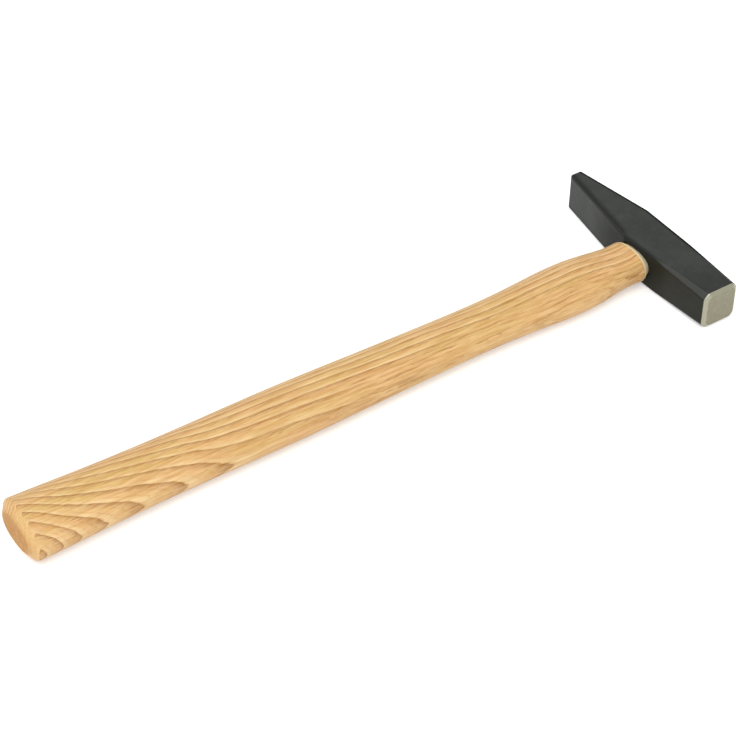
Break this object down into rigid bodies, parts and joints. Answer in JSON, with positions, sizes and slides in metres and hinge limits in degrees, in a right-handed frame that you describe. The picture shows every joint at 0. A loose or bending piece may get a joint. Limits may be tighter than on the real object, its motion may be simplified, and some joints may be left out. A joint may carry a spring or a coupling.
{
  "type": "cross peen hammer",
  "caption": "Light cross peen hammer: lacquered forged head with a square face and a wedge pein, on an oval ash handle fixed by a wooden wedge and a steel ring wedge.",
  "frame": {"origin": "on the head's lower cheek (a flat side of the head), straight below the point where the handle's axis crosses the head; the hammer lies on its side with the cheek at z = 0, and the thicker butt of the handle reaches about 1.1 mm below that plane", "axes": "+X along the handle from the grip to the head, +Y along the head from the striking face to the pein, +Z across the head, from one cheek to the other"},
  "size_m": [0.2599, 0.0822, 0.0167],
  "materials": {
    "head_lacquer": "satin near-black lacquer over forged steel; striking face and pein edge ground bare",
    "ash": "sanded pale ash with a thin clear varnish",
    "beech": "sawn, unfinished",
    "bright_steel": "turned, bright"
  },
  "bodies": {
    "root": {"hammer_head": "head_lacquer", "handle": "ash", "wooden_wedge": "beech", "ring_wedge": "bright_steel"}
  },
  "joints": []
}
